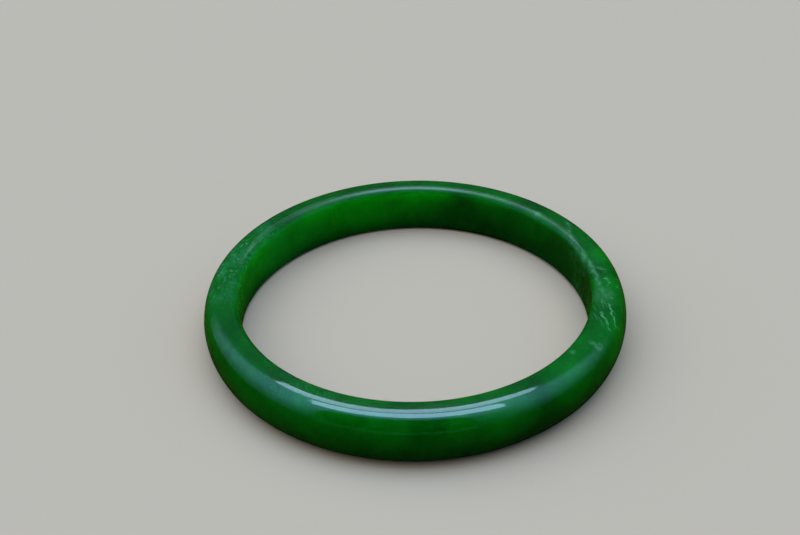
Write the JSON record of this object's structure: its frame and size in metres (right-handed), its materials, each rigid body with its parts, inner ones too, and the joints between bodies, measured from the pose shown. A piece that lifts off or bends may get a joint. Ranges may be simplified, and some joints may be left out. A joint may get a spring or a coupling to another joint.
{
  "type": "bangle bracelet",
  "caption": "Rigid closed ring worn on the wrist, polished green jade, with a flat inner wall, eased inner edges and a domed outside.",
  "frame": {"origin": "centre of the ring, on the surface that it lies on", "axes": "+Z along the ring's axis and up from that surface; X and Y lie in the plane of the ring, which is the same all round"},
  "size_m": [0.0672, 0.0672, 0.0085],
  "materials": {
    "jade": "polished"
  },
  "bodies": {
    "root": {"bangle": "jade"}
  },
  "joints": []
}
